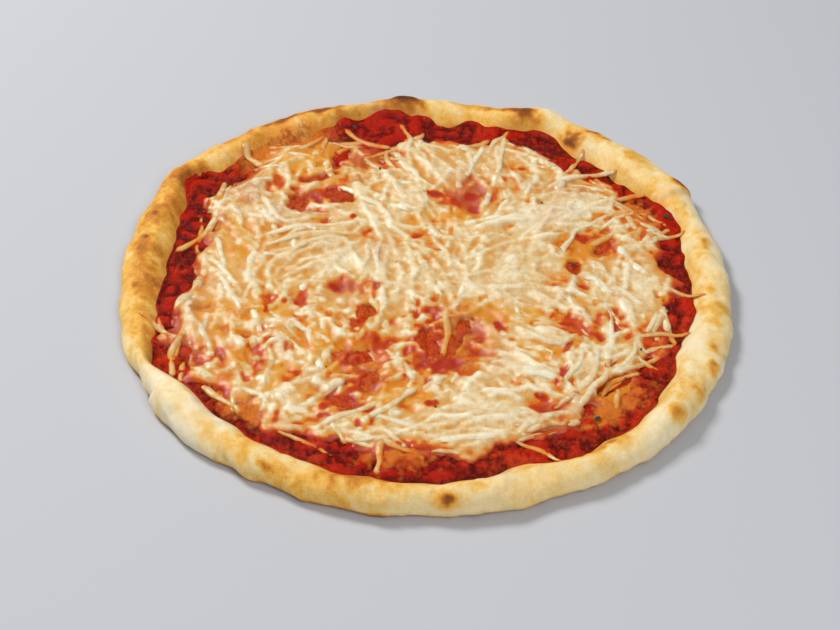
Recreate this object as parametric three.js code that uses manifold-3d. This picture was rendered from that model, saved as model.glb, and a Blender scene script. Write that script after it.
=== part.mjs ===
// Margherita pizza, hand stretched: a thin dough base with a puffed rim, a spread of tomato sauce
// and a melted layer of shredded cheese, with single shreds of it lying over the sauce.
// Millimetres, +Z up. The underside is flat on z = 0, and the origin is under the middle.
// Directions are degrees, anticlockwise from +X as seen from above.

import * as THREE from "three";
import { mergeVertices } from "three/addons/utils/BufferGeometryUtils.js";
import Module from "manifold-3d";

const wasm = await Module();
wasm.setup();

// Driving dimensions of the dough
const DOUGH_RADIUS = 146.5;
const BASE_THICKNESS = 4;
const RIM_HEIGHT = 11.5;
const WAIST_HEIGHT = 4.2;
const UNDERSIDE_INSET = 5.5;
const CREST_SHARE = 0.5;

// Driving dimensions of the topping
const SAUCE_RADIUS = 129;
const SAUCE_THICKNESS = 1.5;
const SAUCE_LUMP = 0.45;
const CHEESE_RADIUS = 116;
const CHEESE_THICKNESS = 2.4;
const CHEESE_LUMP = 0.6;
const CHEESE_EDGE_THICKNESS = 0.9;
const SHRED_WIDTH = 3.4;
const SHRED_THICKNESS = 2.2;
const SHRED_COUNT = 66;
const LAYER_GAP = 0.3;

// Fineness of the facets
const CRUST_STEPS = 132;
const SAUCE_STEPS = 84;
const CHEESE_STEPS = 80;
const SHRED_SIDES = 6;
const SHRED_STEPS = 3;
const WINDOW_SIDES = 10;
const DOME_SIDES = 11;
const DOME_RINGS = 5;
const FACET_TOLERANCE = 0.14;
const SHRED_SEED = 1889;

// Where the hand-stretched outline runs wide or narrow: direction, half width in degrees, millimetres
const OUTLINE_BULGES = [
  { at: 47, half: 50, by: 7 },
  { at: 138, half: 46, by: 5 },
  { at: 97, half: 8, by: 2 },
  { at: 68, half: 9, by: 2 },
  { at: 290, half: 30, by: -1.5 },
];

// Puffed and sunken stretches of the rim
const RIM_PUFFS = [
  { at: 97, half: 9, by: 2.5 },
  { at: 82, half: 8, by: -1 },
  { at: 68, half: 9, by: 2.5 },
  { at: 180, half: 34, by: -1 },
  { at: 265, half: 38, by: 1 },
  { at: 345, half: 16, by: -0.8 },
];

// Folds, where one stretch of rim laps over the next: it stands proud at the lap and fades along `run`
const RIM_FOLDS = [
  { at: 30, run: 26, high: 2.4, out: 1.6 },
  { at: 150, run: 24, high: 1.6, out: 1.6 },
  { at: 216, run: 26, high: 1.8, out: 3 },
];

// Lobes of the sauce, which runs up to the foot of the rim
const SAUCE_LOBES = [
  { at: 150, half: 9, by: 11 },
  { at: 134, half: 14, by: 5 },
  { at: 104, half: 18, by: 6 },
  { at: 64, half: 14, by: 5 },
  { at: 24, half: 12, by: 4 },
  { at: 2, half: 24, by: -3 },
  { at: 340, half: 18, by: -6 },
  { at: 290, half: 12, by: -6 },
  { at: 207, half: 11, by: 8 },
  { at: 178, half: 26, by: -4 },
];

// Lobes of the cheese
const CHEESE_LOBES = [
  { at: 0, half: 9, by: 8 },
  { at: 20, half: 13, by: 7 },
  { at: 38, half: 12, by: 6 },
  { at: 66, half: 14, by: 5 },
  { at: 84, half: 14, by: -3 },
  { at: 104, half: 9, by: -11 },
  { at: 128, half: 22, by: 11 },
  { at: 150, half: 12, by: 7 },
  { at: 174, half: 14, by: -4 },
  { at: 208, half: 24, by: 12 },
  { at: 236, half: 18, by: 5 },
  { at: 267, half: 12, by: -4 },
  { at: 290, half: 14, by: -3 },
  { at: 313, half: 10, by: -6 },
  { at: 340, half: 6, by: 1 },
];

// Windows that the cheese leaves open: middle, half length, half width and turn
const CHEESE_WINDOWS = [
  { x: -65, y: 58, long: 5, wide: 4, turn: 60 },
  { x: -46, y: 65, long: 7, wide: 3, turn: -35 },
  { x: -46, y: 101, long: 8, wide: 3.5, turn: 80 },
  { x: 22, y: 60, long: 6, wide: 4, turn: 0 },
  { x: -29, y: -25, long: 6, wide: 4, turn: 50 },
  { x: 11, y: -40, long: 7, wide: 6, turn: 10 },
  { x: 87, y: -65, long: 8, wide: 3.5, turn: 25 },
  { x: 78, y: -34, long: 5, wide: 2.6, turn: -35 },
  { x: -109, y: -57, long: 6.5, wide: 2.8, turn: -70 },
];

// Domes where a bubble of sauce or dough has lifted the cheese: middle, length, width, turn and rise
const CHEESE_DOMES = [
  { x: 58, y: -52, long: 31, wide: 26, turn: 20, rise: 2.4 },
  { x: 102, y: 45, long: 27, wide: 19, turn: 110, rise: 2 },
  { x: -97, y: 61, long: 38, wide: 24, turn: 115, rise: 1.9 },
  { x: 60, y: 48, long: 42, wide: 26, turn: 35, rise: 1.5 },
];

// Single shreds that leave the cheese for the bare sauce and the rim: both ends and the sideways bow
const STRAY_SHREDS = [
  { from: [-88, 84], to: [-104, 103], bow: 1 },
  { from: [66, 84], to: [80, 110], bow: -2 },
  { from: [98, -35], to: [125, -30], bow: 1 },
  { from: [112, 1], to: [134, -7], bow: 1 },
  { from: [-104, 44], to: [-123, 15], bow: 3 },
  { from: [-17, 99], to: [-46, 122], bow: 4 },
  { from: [-12, 98], to: [-17, 127], bow: -3 },
  { from: [-17, -106], to: [-18, -127], bow: 0 },
  { from: [40, -103], to: [62, -118], bow: 2 },
  { from: [-112, -44], to: [-112, -73], bow: -3 },
  { from: [-108, -6], to: [-121, -24], bow: 2 },
  { from: [30, 104], to: [42, 124], bow: 1 },
  { from: [92, 66], to: [110, 54], bow: 2 },
];

// The way the shreds lie, combed in swathes as they fell: place on the pizza and heading
const SWATHES = [
  { x: -92, y: 92, heading: 113 },
  { x: -114, y: 28, heading: 66 },
  { x: -92, y: 44, heading: 122 },
  { x: -100, y: 12, heading: 112 },
  { x: -48, y: 32, heading: 12 },
  { x: -60, y: 14, heading: 34 },
  { x: -30, y: 12, heading: 98 },
  { x: -26, y: 62, heading: 130 },
  { x: -50, y: 105, heading: 92 },
  { x: 8, y: 104, heading: 95 },
  { x: 36, y: 100, heading: 87 },
  { x: 56, y: 100, heading: 130 },
  { x: 78, y: 96, heading: 68 },
  { x: 84, y: 84, heading: 22 },
  { x: 60, y: 46, heading: 36 },
  { x: 96, y: 50, heading: 38 },
  { x: 8, y: 20, heading: 124 },
  { x: 30, y: 18, heading: 34 },
  { x: 84, y: 10, heading: 120 },
  { x: 106, y: -22, heading: 92 },
  { x: -92, y: -18, heading: 118 },
  { x: -112, y: -44, heading: 94 },
  { x: -74, y: -60, heading: 104 },
  { x: -15, y: -10, heading: 115 },
  { x: -12, y: -82, heading: 42 },
  { x: -52, y: -94, heading: 15 },
  { x: 8, y: -38, heading: 98 },
  { x: 60, y: -30, heading: -8 },
  { x: 50, y: -68, heading: -32 },
  { x: 70, y: -56, heading: 73 },
  { x: 92, y: -68, heading: 42 },
  { x: 34, y: -92, heading: 8 },
  { x: 68, y: -12, heading: 124 },
];

// Flecks of dried herb on the bare sauce: place and length
const HERB_FLECKS = [
  { x: 78, y: -88, long: 2.2 },
  { x: 83, y: -95, long: 1.3 },
  { x: 117, y: 54, long: 2.4 },
  { x: -40, y: 122, long: 2.2 },
  { x: -11, y: -122, long: 1.4 },
  { x: 31, y: -117, long: 1.4 },
  { x: -116, y: 65, long: 1.3 },
];

const radians = THREE.MathUtils.degToRad;

// Degrees from direction b to direction a, between -180 and 180.
function turnFrom(b, a) {
  return ((((a - b + 180) % 360) + 360) % 360) - 180;
}

// A soft hump: 1 in its middle and 0 from `half` on.
function hump(distance, half) {
  const share = Math.min(1, Math.abs(distance) / half);
  return (1 + Math.cos(Math.PI * share)) / 2;
}

// A mean size with its features added at a direction.
function uneven(mean, features, direction) {
  return features.reduce(
    (sum, { at, half, by }) => sum + by * hump(turnFrom(at, direction), half),
    mean,
  );
}

// How much of a fold stands at a direction: all of it at the lap, fading along its run.
function foldShare(fold, direction) {
  const past = turnFrom(fold.at, direction);
  return past < 0 || past > fold.run ? 0 : hump(past, fold.run);
}

function outerRadius(direction) {
  const folded = RIM_FOLDS.reduce((sum, f) => sum + f.out * foldShare(f, direction), 0);
  const wobble = 0.5 * Math.sin(radians(13 * direction)) + 0.4 * Math.sin(radians(29 * direction));
  return uneven(DOUGH_RADIUS, OUTLINE_BULGES, direction) + folded + wobble;
}

function rimHeight(direction) {
  const folded = RIM_FOLDS.reduce((sum, f) => sum + f.high * foldShare(f, direction), 0);
  const wobble = 0.4 * Math.sin(radians(17 * direction)) + 0.3 * Math.sin(radians(7 * direction));
  return uneven(RIM_HEIGHT, RIM_PUFFS, direction) + folded + wobble;
}

function sauceRadius(direction) {
  const ripple = 0.6 * Math.sin(radians(23 * direction)) + 0.5 * Math.sin(radians(37 * direction));
  return uneven(SAUCE_RADIUS, SAUCE_LOBES, direction) + ripple;
}

function cheeseRadius(direction) {
  const ripple = 1.6 * Math.sin(radians(17 * direction)) + 1.3 * Math.sin(radians(31 * direction));
  return uneven(CHEESE_RADIUS, CHEESE_LOBES, direction) + ripple;
}

function crestRadius(direction) {
  const foot = sauceRadius(direction);
  return foot + CREST_SHARE * (outerRadius(direction) - foot);
}

// Distance and direction of a place from the middle.
function polar(x, y) {
  const direction = THREE.MathUtils.radToDeg(Math.atan2(y, x));
  return { radius: Math.hypot(x, y), direction: (direction + 360) % 360 };
}

// Gentle lumps between -1 and 1, the same at every run.
function lumps(x, y, size) {
  const along = Math.sin((x * 0.9 + y * 0.4) / size);
  const across = Math.sin((y - x * 0.35) / size + 1.3);
  const fine = Math.sin((x + y) / (0.6 * size) + 0.7);
  return (along + across + along * fine) / 3;
}

// Top of the rim's inner slope, from its foot at the sauce to its crest.
function slopeHeight(share, direction) {
  const rise = 1 - (1 - share) ** 1.8;
  return BASE_THICKNESS + (rimHeight(direction) - BASE_THICKNESS) * rise;
}

function sauceTop(x, y) {
  const { radius, direction } = polar(x, y);
  const share = radius / sauceRadius(direction);
  const open = THREE.MathUtils.smoothstep(share, 0.84, 0.93);
  return BASE_THICKNESS + LAYER_GAP + SAUCE_THICKNESS + open * SAUCE_LUMP * lumps(x, y, 3);
}

// The lowest that a shred may lie: on the sauce, or on the slope of the rim.
function floorUnderShred(x, y) {
  const { radius, direction } = polar(x, y);
  const foot = sauceRadius(direction);
  const onSauce = BASE_THICKNESS + SAUCE_THICKNESS + SAUCE_LUMP + 2 * LAYER_GAP;
  const reach = radius + SHRED_WIDTH / 2 - foot;
  const share = Math.min(1, reach / (crestRadius(direction) - foot));
  return share < 0 ? onSauce : Math.max(onSauce, slopeHeight(share, direction) + 3 * LAYER_GAP);
}

const CHEESE_UNDERSIDE = BASE_THICKNESS + SAUCE_THICKNESS + SAUCE_LUMP + 2 * LAYER_GAP;

function cheeseTop(x, y) {
  const { radius, direction } = polar(x, y);
  const share = radius / cheeseRadius(direction);
  const inside = 1 - THREE.MathUtils.smoothstep(share, 0.88, 1);
  const body = CHEESE_THICKNESS - CHEESE_EDGE_THICKNESS + CHEESE_LUMP * lumps(x, y, 11);
  return CHEESE_UNDERSIDE + CHEESE_EDGE_THICKNESS + inside * body;
}

// A geometry with shared vertices and no collapsed triangles.
function closed(geometry) {
  geometry.deleteAttribute("normal");
  geometry.deleteAttribute("uv");
  const merged = mergeVertices(geometry, 1e-4);
  const kept = [];
  const index = merged.index.array;
  for (let i = 0; i < index.length; i += 3) {
    const [a, b, c] = index.subarray(i, i + 3);
    if (a !== b && b !== c && c !== a) kept.push(a, b, c);
  }
  merged.setIndex(kept);
  return merged;
}

function solidOf(geometry) {
  const { attributes, index } = closed(geometry);
  return new wasm.Manifold(
    new wasm.Mesh({
      numProp: 3,
      vertProperties: new Float32Array(attributes.position.array),
      triVerts: new Uint32Array(index.array),
    }),
  );
}

function geometryOf(solid) {
  const { vertProperties, triVerts } = solid.getMesh();
  return new THREE.BufferGeometry()
    .setAttribute("position", new THREE.BufferAttribute(vertProperties, 3))
    .setIndex(new THREE.BufferAttribute(triVerts, 1));
}

// A lathe about the middle whose section, a list of [radius, height] from the bottom of the axis
// to its top, changes with direction.
function turned(section, steps) {
  const rings = section(0).length;
  const blank = Array.from({ length: rings }, (_, ring) => new THREE.Vector2(1, ring));
  const geometry = new THREE.LatheGeometry(blank, steps);
  const position = geometry.getAttribute("position");
  for (let turn = 0; turn <= steps; turn++) {
    const direction = (360 / steps) * (turn % steps);
    const angle = radians(direction);
    section(direction).forEach(([radius, height], ring) => {
      const place = [radius * Math.cos(angle), radius * Math.sin(angle), height];
      position.setXYZ(turn * rings + ring, ...place);
    });
  }
  return geometry;
}

// Radius and height at a share of the topping's radius, with the height read from its surface.
function onSurface(share, direction, edge, top) {
  const radius = share * edge(direction);
  const angle = radians(direction);
  return [radius, top(radius * Math.cos(angle), radius * Math.sin(angle))];
}

function crustSection(direction) {
  const outer = outerRadius(direction);
  const crest = crestRadius(direction);
  const foot = sauceRadius(direction);
  const top = rimHeight(direction);
  const under = [40, 90].map((degrees) => {
    const angle = radians(degrees);
    const radius = outer - UNDERSIDE_INSET * (1 - Math.sin(angle));
    return [radius, WAIST_HEIGHT * (1 - Math.cos(angle))];
  });
  const outside = [23, 45, 68, 90].map((degrees) => {
    const angle = radians(degrees);
    const radius = crest + (outer - crest) * Math.cos(angle);
    return [radius, WAIST_HEIGHT + (top - WAIST_HEIGHT) * Math.sin(angle)];
  });
  const slope = [0.7, 0.4, 0.18, 0].map((share) => [
    foot + share * (crest - foot),
    slopeHeight(share, direction),
  ]);
  const underside = [
    [0, 0],
    [outer - UNDERSIDE_INSET, 0],
  ];
  return [...underside, ...under, ...outside, ...slope, [0, BASE_THICKNESS]];
}

function sauceSection(direction) {
  const edge = sauceRadius(direction) - 2 * LAYER_GAP;
  const bottom = BASE_THICKNESS + LAYER_GAP;
  const lip = [
    [edge - 0.3, bottom],
    [edge, bottom + 0.4],
  ];
  const top = [0.985, 0.955, 0.925, 0.89, 0.84].map((share) =>
    onSurface(share, direction, sauceRadius, sauceTop),
  );
  return [[0, bottom], ...lip, ...top, [0, sauceTop(0, 0)]];
}

function cheeseSection(direction) {
  const edge = cheeseRadius(direction);
  const lip = [
    [edge - 0.4, CHEESE_UNDERSIDE],
    [edge, CHEESE_UNDERSIDE + 0.4],
  ];
  const top = [0.985, 0.94, 0.88, 0.76, 0.6, 0.44, 0.24].map((share) =>
    onSurface(share, direction, cheeseRadius, cheeseTop),
  );
  return [[0, CHEESE_UNDERSIDE], ...lip, ...top, [0, cheeseTop(0, 0)]];
}

// A repeatable random number between 0 and 1 at each call.
function randomFrom(seed) {
  let state = seed;
  return () => {
    state = (state * 1664525 + 1013904223) % 4294967296;
    return state / 4294967296;
  };
}

// A melted shred along a line on the plan, lying flat on whatever is under it.
function shred({ from, to, bow }) {
  const [dx, dy] = [to[0] - from[0], to[1] - from[1]];
  const length = Math.hypot(dx, dy);
  const points = [0, 0.25, 0.5, 0.75, 1].map((share) => {
    const side = (bow * Math.sin(Math.PI * share)) / length;
    const x = from[0] + share * dx - side * dy;
    const y = from[1] + share * dy + side * dx;
    const { radius, direction } = polar(x, y);
    const onCheese = radius < cheeseRadius(direction) - 1;
    const sunk = 0.3 * SHRED_THICKNESS;
    const rest = onCheese ? cheeseTop(x, y) - sunk : floorUnderShred(x, y);
    return new THREE.Vector3(x, y, rest + SHRED_THICKNESS / 2);
  });
  const section = Array.from({ length: SHRED_SIDES }, (_, side) => {
    const angle = (2 * Math.PI * side) / SHRED_SIDES;
    const upright = (Math.cos(angle) * SHRED_THICKNESS) / 2;
    return new THREE.Vector2(upright, (Math.sin(angle) * SHRED_WIDTH) / 2);
  });
  return new THREE.ExtrudeGeometry(new THREE.Shape(section), {
    steps: SHRED_STEPS,
    extrudePath: new THREE.CatmullRomCurve3(points),
  });
}

// The heading of the swathes round a place. A line has no front, so headings are added as double turns.
function combHeading(x, y) {
  const sum = new THREE.Vector2();
  for (const swathe of SWATHES) {
    const weight = 1 / (Math.hypot(x - swathe.x, y - swathe.y) + 4) ** 3;
    const double = radians(2 * swathe.heading);
    sum.add(new THREE.Vector2(Math.cos(double), Math.sin(double)).multiplyScalar(weight));
  }
  return THREE.MathUtils.radToDeg(sum.angle()) / 2;
}

// Shreds spread evenly over the cheese on a spiral of equal areas.
function scatteredShreds() {
  const random = randomFrom(SHRED_SEED);
  const goldenAngle = 137.5;
  return Array.from({ length: SHRED_COUNT }, (_, number) => {
    const reach = (CHEESE_RADIUS - 8) * Math.sqrt((number + 0.5) / SHRED_COUNT);
    const around = radians(number * goldenAngle);
    const [x, y] = [reach * Math.cos(around), reach * Math.sin(around)];
    const heading = radians(combHeading(x, y) + 30 * (random() - 0.5));
    const half = 9 + 9 * random();
    const bow = 9 * (random() - 0.5);
    const [dx, dy] = [half * Math.cos(heading), half * Math.sin(heading)];
    return { from: [x - dx, y - dy], to: [x + dx, y + dy], bow };
  });
}

// A shred is left out where it would hang over a window.
function clearOfWindows({ from, to }) {
  return CHEESE_WINDOWS.every(({ x, y, long }) =>
    [0, 0.5, 1].every((share) => {
      const px = from[0] + share * (to[0] - from[0]);
      const py = from[1] + share * (to[1] - from[1]);
      return Math.hypot(px - x, py - y) > long + SHRED_WIDTH / 2;
    }),
  );
}

function cheeseWindow({ x, y, long, wide, turn }) {
  const height = 12;
  return new THREE.CylinderGeometry(1, 1, height, WINDOW_SIDES)
    .rotateX(Math.PI / 2)
    .scale(long, wide, 1)
    .rotateZ(radians(turn))
    .translate(x, y, CHEESE_UNDERSIDE);
}

// The upper part of a flattened ball that is sunk in the cheese.
function dome({ x, y, long, wide, turn, rise }) {
  return new THREE.SphereGeometry(1, DOME_SIDES, DOME_RINGS)
    .rotateX(Math.PI / 2)
    .scale(long / 2, wide / 2, rise)
    .rotateZ(radians(turn))
    .translate(x, y, cheeseTop(x, y));
}

function herbFleck({ x, y, long }) {
  return new THREE.OctahedronGeometry(1)
    .scale(long / 2, long / 3, 0.6)
    .rotateZ(x)
    .translate(x, y, sauceTop(x, y));
}

function melted() {
  const lifted = CHEESE_DOMES.reduce(
    (solid, place) => solid.add(solidOf(dome(place))),
    solidOf(turned(cheeseSection, CHEESE_STEPS)),
  );
  const core = CHEESE_WINDOWS.reduce(
    (solid, window) => solid.subtract(solidOf(cheeseWindow(window))),
    lifted,
  );
  const shreds = [...scatteredShreds().filter(clearOfWindows), ...STRAY_SHREDS];
  const heap = shreds.reduce((solid, place) => solid.add(solidOf(shred(place))), core);
  const [largest] = heap.decompose().sort((a, b) => b.volume() - a.volume());
  return geometryOf(largest.simplify(FACET_TOLERANCE));
}

function spread() {
  const sauce = HERB_FLECKS.reduce(
    (solid, fleck) => solid.add(solidOf(herbFleck(fleck))),
    solidOf(turned(sauceSection, SAUCE_STEPS)),
  );
  return geometryOf(sauce.simplify(LAYER_GAP / 10));
}

const FINISHES = {
  crust: { color: 0xe6c285, roughness: 0.8, metalness: 0 },
  tomato_sauce: { color: 0xa82a14, roughness: 0.4, metalness: 0 },
  melted_cheese: { color: 0xecd7a0, roughness: 0.4, metalness: 0 },
};

const SHAPES = {
  crust: geometryOf(solidOf(turned(crustSection, CRUST_STEPS))),
  tomato_sauce: spread(),
  melted_cheese: melted(),
};

const pizza = new THREE.Group();
for (const [name, geometry] of Object.entries(SHAPES)) {
  const mesh = new THREE.Mesh(geometry, new THREE.MeshStandardMaterial(FINISHES[name]));
  mesh.name = name;
  pizza.add(mesh);
}

export default pizza;
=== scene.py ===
# %% [markdown]
# # A margherita pizza
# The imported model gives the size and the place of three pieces: the crust, the tomato sauce and the
# melted cheese. Food shows its making at a scale of one millimetre, so each piece gets a finer twin
# here: the same outline, with blisters, pulp and strands on it.
# All sizes below are in millimetres. Directions are in degrees, anticlockwise from +X seen from
# above. Sizes turn to metres only when a mesh is made.

import math

import bmesh
import bpy
import numpy as np
from mathutils import Matrix, Vector


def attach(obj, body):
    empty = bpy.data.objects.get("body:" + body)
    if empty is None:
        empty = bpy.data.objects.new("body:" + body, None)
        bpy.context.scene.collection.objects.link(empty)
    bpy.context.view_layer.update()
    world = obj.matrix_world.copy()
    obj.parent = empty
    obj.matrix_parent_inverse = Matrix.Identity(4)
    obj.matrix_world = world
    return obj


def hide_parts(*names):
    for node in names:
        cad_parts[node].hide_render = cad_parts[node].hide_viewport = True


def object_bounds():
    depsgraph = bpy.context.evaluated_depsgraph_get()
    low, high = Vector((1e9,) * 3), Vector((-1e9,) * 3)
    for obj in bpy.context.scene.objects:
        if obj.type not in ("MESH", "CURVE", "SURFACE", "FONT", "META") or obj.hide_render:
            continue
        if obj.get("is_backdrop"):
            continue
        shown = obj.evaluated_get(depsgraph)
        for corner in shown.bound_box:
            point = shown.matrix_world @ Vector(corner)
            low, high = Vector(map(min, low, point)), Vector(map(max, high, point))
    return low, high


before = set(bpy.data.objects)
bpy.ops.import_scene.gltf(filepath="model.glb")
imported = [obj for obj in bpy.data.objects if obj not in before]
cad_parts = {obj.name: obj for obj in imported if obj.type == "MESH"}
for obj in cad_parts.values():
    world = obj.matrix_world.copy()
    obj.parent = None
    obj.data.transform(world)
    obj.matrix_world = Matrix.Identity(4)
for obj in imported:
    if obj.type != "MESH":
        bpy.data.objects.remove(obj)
cad_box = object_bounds()
MM = 0.001
print("nodes:", sorted(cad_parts))
print("size in mm:", [round((high - low) / MM, 1) for low, high in zip(*cad_box)])

# %% [markdown]
# ## The camera and the light
# The camera looks down on the table at about the angle of somebody seated in front of the pizza.
# A long lens from a step away keeps the far rim nearly as large as the near one.

# %% Camera
FIELD_OF_VIEW = 27
TILT_DOWN = 42.3
ROLL = 2.24
EYE = (-2.4, -632.4, 560.3)
camera = bpy.data.objects.new("camera", bpy.data.cameras.new("camera"))
bpy.context.scene.collection.objects.link(camera)
camera.data.sensor_fit = "HORIZONTAL"
camera.data.angle = math.radians(FIELD_OF_VIEW)
pitch = Matrix.Rotation(math.radians(90 - TILT_DOWN), 4, "X")
roll = Matrix.Rotation(math.radians(ROLL), 4, "Z")
camera.matrix_world = Matrix.Translation(Vector(EYE) * MM) @ pitch @ roll
bpy.context.scene.camera = camera
print("camera height in mm:", round(camera.matrix_world.translation.z / MM))

# %% [markdown]
# The light is a soft box behind and to the left, which draws a bright line along each strand of
# cheese. A wider and weaker one in front opens the shadows, and the pale surroundings do the rest.


# %% Soft boxes, surroundings and floor
def soft_box(name, place, size, power):
    """A square lamp turned to the pizza: its place and size in metres, its power in watts."""
    light = bpy.data.lights.new(name, "AREA")
    light.size = size
    light.energy = power
    box = bpy.data.objects.new(name, light)
    box.location = place
    box.rotation_euler = (-Vector(place)).to_track_quat("-Z", "Y").to_euler()
    bpy.context.scene.collection.objects.link(box)


soft_box("key_box", (-1.0, 0.8, 1.4), 0.5, 28)
soft_box("front_box", (0.5, -1.1, 1.3), 0.9, 13)

world = bpy.data.worlds.new("pale room")
world.use_nodes = True
background = world.node_tree.nodes["Background"]
background.inputs["Color"].default_value = (0.95, 0.97, 1, 1)
background.inputs["Strength"].default_value = 0.26
bpy.context.scene.world = world
bpy.context.scene.view_settings.view_transform = "Standard"

# %% [markdown]
# ## Helpers for materials
# Colours are written as they would be picked from a screen. The shader wants them in linear light.


# %% Colour and node helpers
def hex_colour(text):
    parts = [int(text[at : at + 2], 16) / 255 for at in (1, 3, 5)]
    linear = [p / 12.92 if p <= 0.04045 else ((p + 0.055) / 1.055) ** 2.4 for p in parts]
    return (*linear, 1)


def add(tree, kind, settings=None, sockets=None):
    """Add a node: its options, and its inputs as values or as other nodes' outputs."""
    node = tree.nodes.new(kind)
    for name, value in (settings or {}).items():
        setattr(node, name, value)
    for name, value in (sockets or {}).items():
        if isinstance(value, bpy.types.NodeSocket):
            tree.links.new(value, node.inputs[name])
        else:
            node.inputs[name].default_value = value
    return node


def new_material(name, shader):
    """A material with plain values on its shader. Returns it, its node tree, its shader and the
    place on the object, in metres."""
    material = bpy.data.materials.new(name)
    material.use_nodes = True
    principled = material.node_tree.nodes["Principled BSDF"]
    for socket, value in shader.items():
        principled.inputs[socket].default_value = value
    place = add(material.node_tree, "ShaderNodeTexCoord").outputs["Object"]
    return material, material.node_tree, principled, place


print("grey at 50% on a screen, in linear light:", round(hex_colour("#808080")[0], 3))

# %% [markdown]
# Food has no plain colours: sauce soaks in, oil creeps and crust browns. So a material here is a
# base colour with tints laid over it. A mask on the mesh says where a tint lies, and a fine pattern
# frays its edge, as a real stain's edge is frayed. Masks are numbers from 0 to 1 at the vertices,
# which keeps the same colours on the piece wherever it is used.


# %% Patterns, tints and relief
def per_grain(size):
    """The scale of a pattern whose grains are `size` millimetres apart."""
    return 1 / (size * MM)


def noise(tree, place, size, detail, roughness=0.5):
    """A pattern of soft lumps, from 0 to 1."""
    sockets = {"Scale": per_grain(size), "Detail": detail, "Roughness": roughness}
    return add(tree, "ShaderNodeTexNoise", {}, {"Vector": place, **sockets}).outputs["Fac"]


def read_mask(tree, name):
    return add(tree, "ShaderNodeAttribute", {"attribute_name": name}).outputs["Fac"]


def scaled_sum(tree, value, factor, more):
    """value * factor + more"""
    sockets = {0: value, 1: factor, 2: more}
    return add(tree, "ShaderNodeMath", {"operation": "MULTIPLY_ADD"}, sockets).outputs[0]


def tints_along(tree, value, stops):
    """The colour that belongs to a value from 0 to 1. Stops: position, tint."""
    blend = add(tree, "ShaderNodeValToRGB", {}, {"Fac": value})
    elements = blend.color_ramp.elements
    while len(elements) < len(stops):
        elements.new(0.5)
    for element, (position, tint) in zip(elements, stops):
        element.position = position
        element.color = hex_colour(tint)
    return blend.outputs["Color"]


def tint_over(tree, colour, pattern, layers):
    """Lay tints over a colour. Layers: mask, share of the pattern added to it, the sum where the
    tint begins, the sum where it is whole, the tint, its strength."""
    for mask, share, low, high, tint, strength in layers:
        reach = scaled_sum(tree, pattern, share, read_mask(tree, mask))
        span = {"Value": reach, "From Min": low, "From Max": high, "To Max": strength}
        spread = add(tree, "ShaderNodeMapRange", {"interpolation_type": "SMOOTHSTEP"}, span)
        sockets = {0: spread.outputs[0], 6: colour, 7: hex_colour(tint)}
        colour = add(tree, "ShaderNodeMix", {"data_type": "RGBA"}, sockets).outputs[2]
    return colour


def add_relief(tree, shader, normals, height, depth, strength):
    """Give some normals of the shader a fine relief, `depth` millimetres deep."""
    sockets = {"Height": height, "Distance": depth * MM, "Strength": strength}
    bump = add(tree, "ShaderNodeBump", {}, sockets)
    for socket in normals:
        tree.links.new(bump.outputs["Normal"], shader.inputs[socket])


print("scale of a 1 mm grain:", per_grain(1))

# %% [markdown]
# ## The floor
# A plain painted table top, large enough to fill the view.

# %% Floor
TABLE_HALF_M = 6
table_paint, *_ = new_material(
    "matt table paint", {"Base Color": hex_colour("#BFC0C4"), "Roughness": 0.8}
)
floor_shape = bmesh.new()
bmesh.ops.create_grid(floor_shape, x_segments=1, y_segments=1, size=TABLE_HALF_M)
floor_mesh = bpy.data.meshes.new("floor")
floor_shape.to_mesh(floor_mesh)
floor_shape.free()
floor_mesh.materials.append(table_paint)
floor = bpy.data.objects.new("floor", floor_mesh)
bpy.context.scene.collection.objects.link(floor)
floor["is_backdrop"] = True
print("floor in m:", tuple(floor.dimensions))

# %% [markdown]
# ## Words for uneven shapes
# Nothing on a pizza is regular. A named mean size is made uneven by soft humps at measured
# directions, and by noise. The noise is seeded, so every run gives the same pizza.


# %% Humps, clouds and patches
def hump(distance, half):
    """1 in the middle, 0 from `half` on."""
    return (1 + np.cos(np.pi * np.minimum(1, np.abs(distance) / half))) / 2


def ramp(value, low, high):
    """0 up to `low`, 1 from `high` on, soft between."""
    share = np.clip((value - low) / (high - low), 0, 1)
    return share * share * (3 - 2 * share)


def turn_from(start, direction):
    """From -180 to 180."""
    return (direction - start + 180) % 360 - 180


def toward(at, half, direction):
    """1 in the direction `at`, 0 from `half` degrees away from it on."""
    return hump(turn_from(at, direction), half)


def uneven(mean, features, direction):
    """A mean with humps on it. Features: direction, half width, height."""
    return mean + sum(by * toward(at, half, direction) for at, half, by in features)


def polar(x, y):
    """Distance from the middle, and direction."""
    return np.hypot(x, y), np.degrees(np.arctan2(y, x)) % 360


def place_at(direction, reach):
    """The way back: x and y."""
    return reach * np.cos(np.radians(direction)), reach * np.sin(np.radians(direction))


def cloud(x, y, size, seed):
    """Soft noise between -1 and 1 with lumps about `size` millimetres across."""
    cells = 128
    lattice = np.random.default_rng(seed).uniform(-1, 1, (cells, cells))
    # The shift keeps the middle of the pizza away from a corner of the lattice.
    u, v = x / size + 51.3, y / size + 37.8
    i, j = np.floor(u).astype(int), np.floor(v).astype(int)
    a, b = ramp(u - i, 0, 1), ramp(v - j, 0, 1)
    i, j, k, m = i % cells, j % cells, (i + 1) % cells, (j + 1) % cells
    low = lattice[i, j] * (1 - a) + lattice[k, j] * a
    high = lattice[i, m] * (1 - a) + lattice[k, m] * a
    return low * (1 - b) + high * b


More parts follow.
